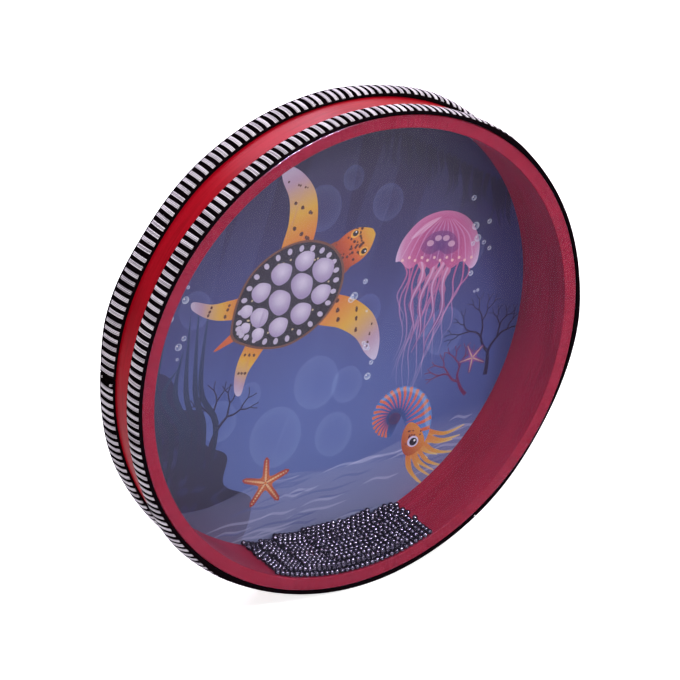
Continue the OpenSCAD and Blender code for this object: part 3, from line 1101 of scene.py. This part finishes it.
# one flat mesh that holds every outline, with the colours laid over one another at its corners
def buildPicture():
    composePicture()
    radius = pictureSet["radius"] * 1000
    turns = np.linspace(0, math.tau, pictureSet["rimSides"], endpoint=False)
    rim = [(radius * math.cos(t), radius * math.sin(t)) for t in turns]
    verts, faces = [], []
    for outline in [rim] + [points for points, _ in shapes]:
        faces.append(list(range(len(verts), len(verts) + len(outline))))
        verts += [Vector(p) for p in outline]
    grid = np.arange(-radius, radius, pictureSet["grid"])
    for row, z in enumerate(grid):
        for x in grid + (row % 2) * pictureSet["grid"] / 2:
            if math.hypot(x, z) < radius - pictureSet["rimFree"]:
                verts.append(Vector((x, z)))
    points, _, triangles, _, _, sources = delaunay_2d_cdt(verts, [], faces, 1, 1e-5, True)
    keep = [i for i, source in enumerate(sources) if 0 in source]
    y = halfDepth - pictureSet["seat"] - pictureSet["thick"]
    mesh = bpy.data.meshes.new("seaPicture")
    mesh.from_pydata([(p.x / 1000, y, p.y / 1000) for p in points], [], [triangles[i] for i in keep])
    colours = []
    for i in keep:
        layers = sorted(set(sources[i]) - {0})
        for corner in triangles[i]:
            x, z = points[corner]
            colour = waterAt(x, z)
            for layer in layers:
                paint, cover = shapes[layer - 1][1](x, z)
                colour = blend(colour, paint, cover)
            colours += [toLinear(max(0.0, c)) for c in colour] + [1.0]
    ink = mesh.attributes.new("ink", "FLOAT_COLOR", "CORNER")
    ink.data.foreach_set("color", colours)
    picture = bpy.data.objects.new("seaPicture", mesh)
    scene.collection.objects.link(picture)
    pick(picture)
    bpy.ops.object.mode_set(mode="EDIT")
    bpy.ops.mesh.select_all(action="SELECT")
    bpy.ops.mesh.delete_loose(use_verts=True, use_edges=True, use_faces=False)
    bpy.ops.object.mode_set(mode="OBJECT")
    wall = picture.modifiers.new("Solidify", "SOLIDIFY")
    wall.thickness = pictureSet["thick"]
    wall.offset = -1
    bpy.ops.object.modifier_apply(modifier=wall.name)
    print("picture drawn:", len(shapes), "shapes,", len(keep), "triangles")
    return picture


def inkMaterial():
    mat, tree, shader = newMaterial("printedInk")
    grain = noiseNode(tree, *pictureSet["grainSize"])
    low, high = (pictureSet["shade"] + sign * pictureSet["grain"] for sign in (-1, 1))
    shade = rangeNode(tree, grain, low, high)
    ink = attributeNode(tree, "ink", "Color")
    setInputs(tree, shader, {
        "Base Color": vectorNode(tree, "SCALE", {0: ink, "Scale": shade}),
        "Roughness": pictureSet["roughness"],
        "Specular IOR Level": pictureSet["specular"],
    })
    return mat


seaPicture = buildPicture()
giveMaterial(seaPicture, inkMaterial())
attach(seaPicture, "drum")
print("picture finished")

# the beads: loose steel shot that settles at the lowest place of the hoop
beadSet = {
    "diameter": 0.00293,
    "layers": (32, 27, 20, 8),      # beads in a row, layer by layer from the wall
    "rows": (13, 12),       # from head to head, in the first, third and in the second, fourth layer
    "layerStep": 0.0024,
    "rowShuffle": 0.07,     # how far a row is pushed from its place between its neighbours
    "heapAt": 267.0,        # degrees from +X towards +Z
    "clear": 0.00008,       # from the wall, the heads and the print
    "bedDeep": 0.0038,      # beads that lie lower than this over the first layer stay on the wall
    "jitter": 0.00007,
    "drop": 0.00005,        # how far a bead falls in a step
    "steps": 900,
    "calm": 500,            # the fall fades out after this step
    "lookEvery": 12,        # steps between two looks for neighbours
    "lookFar": 1.35,        # how near a neighbour is, in diameters
    "pushes": 3,            # how often beads that overlap are pushed apart in a step
    "ease": 0.4,            # how much a bead's many neighbours hold it back
    "seed": 4,
}


# first places: layers of rows along the wall, every second row shifted by half a bead
def beadStart(rng, wallR, depth):
    start = []
    for layer, along in enumerate(beadSet["layers"]):
        rows = beadSet["rows"][layer % 2]
        radius = wallR - layer * beadSet["layerStep"]
        for row in range(rows):
            push = 0.5 * ((row + layer // 2) % 2) + rng.normal(0, beadSet["rowShuffle"])
            for i in range(along):
                step = beadSet["diameter"] / radius
                angle = math.radians(beadSet["heapAt"]) + (i - (along - 1) / 2 + push) * step
                deep = (row - (rows - 1) / 2) * (2 * depth / (beadSet["rows"][0] - 1))
                start.append((radius * math.cos(angle), deep, radius * math.sin(angle)))
    places = np.array(start)
    return places + rng.uniform(-1, 1, places.shape) * beadSet["jitter"]


def settleBeads():
    rng = np.random.default_rng(beadSet["seed"])
    size = beadSet["diameter"]
    wallR = innerR - size / 2 - beadSet["clear"]
    depth = halfDepth - size / 2 - beadSet["clear"] - pictureSet["thick"]
    beads = beadStart(rng, wallR, depth)
    fall = math.radians(beadSet["heapAt"])
    fall = np.array((math.cos(fall), 0, math.sin(fall)))
    count = len(beads)
    for step in range(beadSet["steps"]):
        if step % beadSet["lookEvery"] == 0:
            apart = beads[:, None, :] - beads[None, :, :]
            near = (apart * apart).sum(axis=2) < (size * beadSet["lookFar"]) ** 2
            one, other = np.nonzero(np.triu(near, 1))
        left = (beadSet["steps"] - step) / (beadSet["steps"] - beadSet["calm"])
        left = min(1.0, max(0.0, left))
        beads += fall * beadSet["drop"] * left ** 2
        for _ in range(beadSet["pushes"]):
            apart = beads[one] - beads[other]
            gap = np.sqrt((apart * apart).sum(axis=1))
            push = np.maximum(size - gap, 0)[:, None] * apart / gap[:, None] * 0.5
            pushed = push[:, 0] != 0
            touches = np.bincount(one, pushed, count) + np.bincount(other, pushed, count)
            for axis in range(3):
                moved = np.bincount(one, push[:, axis], count) - np.bincount(other, push[:, axis], count)
                beads[:, axis] += moved / np.maximum(1, touches * beadSet["ease"])
            radius = np.hypot(beads[:, 0], beads[:, 2])
            beads[:, [0, 2]] *= np.minimum(1, wallR / radius)[:, None]
            beads[:, 1] = np.clip(beads[:, 1], -depth, depth)
    apart = beads[one] - beads[other]
    overlap = size - np.sqrt((apart * apart).sum(axis=1)).min()
    print("beads settled:", count, "deepest overlap", round(overlap * 1000, 3), "mm")
    return beads, wallR - np.hypot(beads[:, 0], beads[:, 2])


beadLook = {
    "colours": ((0.042, 0.036, 0.054), (0.072, 0.064, 0.09)),   # dark and pale
    "stops": (0.25, 0.75),
    "edge": (0.11, 0.1, 0.14),      # how it mirrors at its outline, kept dark as painted shade for the neighbours that it would mirror
    "scuffs": (1400.0, 4.0),        # per metre, and their detail
    "mix": (0.6, 0.4),      # shares of a bead's own tone and the scuffs
    "roughness": (0.16, 0.22),
}


def beadMaterial():
    look = beadLook
    mat, tree, shader = newMaterial("steelShot")
    scuffs = noiseNode(tree, *look["scuffs"])
    mixed = weigh(tree, attributeNode(tree, "tone"), scuffs, look["mix"])
    setInputs(tree, shader, {
        "Base Color": rampNode(tree, mixed, look["stops"], look["colours"]),
        "Roughness": rangeNode(tree, scuffs, *look["roughness"]),
        "Metallic": 1.0,
        # painted shade: the dark edge tint darkens each bead's outline
        "Specular Tint": (*look["edge"], 1),
    })
    return mat


def buildBeads():
    places, heights = settleBeads()
    deselectAll()
    bpy.ops.mesh.primitive_ico_sphere_add(subdivisions=2, radius=beadSet["diameter"] / 2)
    bead = bpy.context.object
    bpy.ops.object.shade_smooth()
    addAttribute(bead, "tone", [0.5] * len(bead.data.vertices))
    steel = beadMaterial()
    rng = random.Random(beadSet["seed"])
    for name, node, body, chosen in (("beadBed", "bead_bed", "bed", heights < beadSet["bedDeep"]),
                                     ("beadWash", "bead_wash", "wash", heights >= beadSet["bedDeep"])):
        spots = []
        for place in places[chosen]:
            roll = Matrix.Rotation(rng.uniform(0, math.tau), 4, Vector([rng.gauss(0, 1) for _ in range(3)]))
            spots.append(Matrix.Translation(place) @ roll)
        group = spreadCopies(bead, spots, name, [rng.random() for _ in spots])
        giveMaterial(group, steel)
        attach(group, body)
        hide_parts(node)
    bpy.data.objects.remove(bead)


buildBeads()
print("beads poured")

# the stage: white to the camera and in mirrors, dimmer for the light that it gives
stageSet = {
    "world": 0.24,
    "floorSize": 30.0,
    "floorColour": (0.8, 0.8, 0.8),
    "floorGlow": 0.74,
}


def seenByEye(tree):        # 1 for the camera's own rays and for those in mirrors and glass
    path = addNode(tree, "ShaderNodeLightPath")
    seen = mathNode(tree, "MAXIMUM", path.outputs["Is Camera Ray"], path.outputs["Is Glossy Ray"])
    return mathNode(tree, "MAXIMUM", seen, path.outputs["Is Transmission Ray"])


def buildStage():
    world = bpy.data.worlds.new("studio")
    scene.world = world
    world.use_nodes = True
    tree = world.node_tree
    plain = tree.nodes["Background"]
    setInputs(tree, plain, {"Color": (1, 1, 1, 1), "Strength": stageSet["world"]})
    white = addNode(tree, "ShaderNodeBackground", {"Color": (1, 1, 1, 1), "Strength": 1.0})
    shown = {0: seenByEye(tree), 1: plain.outputs[0], 2: white.outputs[0]}
    shown = addNode(tree, "ShaderNodeMixShader", shown)
    tree.links.new(shown.outputs[0], tree.nodes["World Output"].inputs["Surface"])
    deselectAll()
    bpy.ops.mesh.primitive_plane_add(size=stageSet["floorSize"], location=(0, 0, floorZ))
    floor = bpy.context.object
    floor.name = "studioFloor"
    mat, tree, shader = newMaterial("paleFloor")
    setInputs(tree, shader, {
        "Base Color": (*stageSet["floorColour"], 1),
        "Roughness": 1.0,
        "Specular IOR Level": 0.0,
        "Emission Color": (1, 1, 1, 1),
        "Emission Strength": mathNode(tree, "MULTIPLY", seenByEye(tree), stageSet["floorGlow"]),
    })
    giveMaterial(floor, mat)


# place, width and height, power, colour, and whether the lamp only makes glints
lampSet = {
    "topLamp": ((-0.2, -0.35, 1.5), (0.4, 0.4), 13, (1, 1, 1), False),
    "leftLamp": ((-1.1, -1.1, 0.8), (0.3, 0.3), 6, (1, 1, 1), False),
    "rightLamp": ((0.7, -1.4, 1.1), (0.25, 0.25), 15, (1, 1, 1), False),
    "backLamp": ((0.2, 1.1, 0.95), (0.85, 0.85), 26, (0.92, 0.8, 1.0), False),
    "bandLamp": ((0.62, 1.1, 0.66), (0.5, 0.5), 3.2, (0.92, 0.8, 1.0), True),
    "glintLamp": ((0.1, -1.35, 1.1), (1.6, 0.12), 115, (1, 1, 1), True),
}


def addLamp(name, place, sides, power, colour, glintOnly):
    bpy.ops.object.light_add(type="AREA", location=place)
    lamp = bpy.context.object
    lamp.name = name
    lamp.data.shape = "RECTANGLE"
    lamp.data.size, lamp.data.size_y = sides
    lamp.data.energy = power
    lamp.data.color = colour
    lamp.visible_diffuse = not glintOnly
    lamp.rotation_euler = (-Vector(place)).to_track_quat("-Z", "Y").to_euler()


buildStage()
for lampName, facts in lampSet.items():
    addLamp(lampName, *facts)
print("stage built")

scene.view_settings.view_transform = "Standard"
